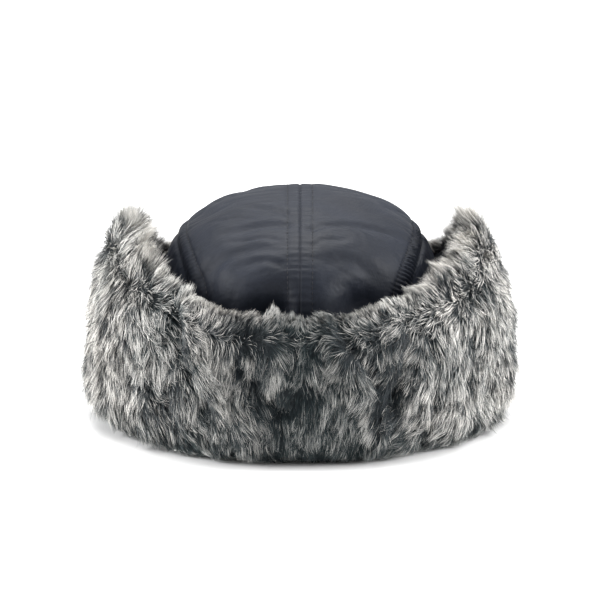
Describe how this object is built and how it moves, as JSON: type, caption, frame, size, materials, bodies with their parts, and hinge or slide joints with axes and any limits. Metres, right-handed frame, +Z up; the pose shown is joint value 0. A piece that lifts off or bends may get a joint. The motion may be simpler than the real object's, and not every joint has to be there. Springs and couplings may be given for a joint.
{
  "type": "trapper hat",
  "caption": "Padded nylon cap with a quilted lining and a folded-up band of faux-fur flaps: fixed front flap, hinged ear flaps with buckle straps and hinged neck flap.",
  "frame": {"origin": "middle of the hem on the surface that the hat stands on, under the middle of its bounding box", "axes": "+Z up towards the crown, -Y towards the front of the hat, +X towards the wearer's left"},
  "size_m": [0.282, 0.2921, 0.142],
  "materials": {
    "nylon": "tight plain-weave nylon with a soft sheen, dark navy",
    "lining": "diamond-quilted polyester, satin",
    "wadding": "white polyester wadding, matt",
    "binding": "twill tape, matt",
    "sweatband": "brushed knit, matt",
    "fur": "long faux-fur pile, blue-black roots and pale grey tips",
    "webbing": "ribbed polyester webbing",
    "buckle": "moulded acetal, fine texture"
  },
  "bodies": {
    "crown": {"crown_panel_left": "nylon", "crown_panel_right": "nylon", "side_panel_left": "nylon", "side_panel_right": "nylon", "centre_seam_tape": "binding", "wadding_panel_left": "wadding", "wadding_panel_right": "wadding", "wadding_side_left": "wadding", "wadding_side_right": "wadding", "lining_panel_left": "lining", "lining_panel_right": "lining", "lining_side_left": "lining", "lining_side_right": "lining", "sweatband": "sweatband", "hem_binding": "binding", "front_flap_shell": "nylon", "front_flap_wadding": "wadding", "front_flap_fur": "fur"},
    "ear_flap_left": {"ear_flap_left_shell": "nylon", "ear_flap_left_wadding": "wadding", "ear_flap_left_fur": "fur", "chin_strap_left": "webbing", "buckle_socket": "buckle"},
    "ear_flap_right": {"ear_flap_right_shell": "nylon", "ear_flap_right_wadding": "wadding", "ear_flap_right_fur": "fur", "chin_strap_right": "webbing", "buckle_prong": "buckle"},
    "neck_flap": {"neck_flap_shell": "nylon", "neck_flap_wadding": "wadding", "neck_flap_fur": "fur"}
  },
  "joints": [
    {"name": "ear_flap_left_fold", "type": "hinge", "parent": "crown", "child": "ear_flap_left", "pos_m": [0.0955, 0, 0], "axis": [0, 1, 0], "range_deg": [0, 168]},
    {"name": "ear_flap_right_fold", "type": "hinge", "parent": "crown", "child": "ear_flap_right", "pos_m": [-0.0955, 0, 0], "axis": [0, -1, 0], "range_deg": [0, 168]},
    {"name": "neck_flap_fold", "type": "hinge", "parent": "crown", "child": "neck_flap", "pos_m": [0, 0.1145, 0], "axis": [-1, 0, 0], "range_deg": [0, 168]}
  ]
}
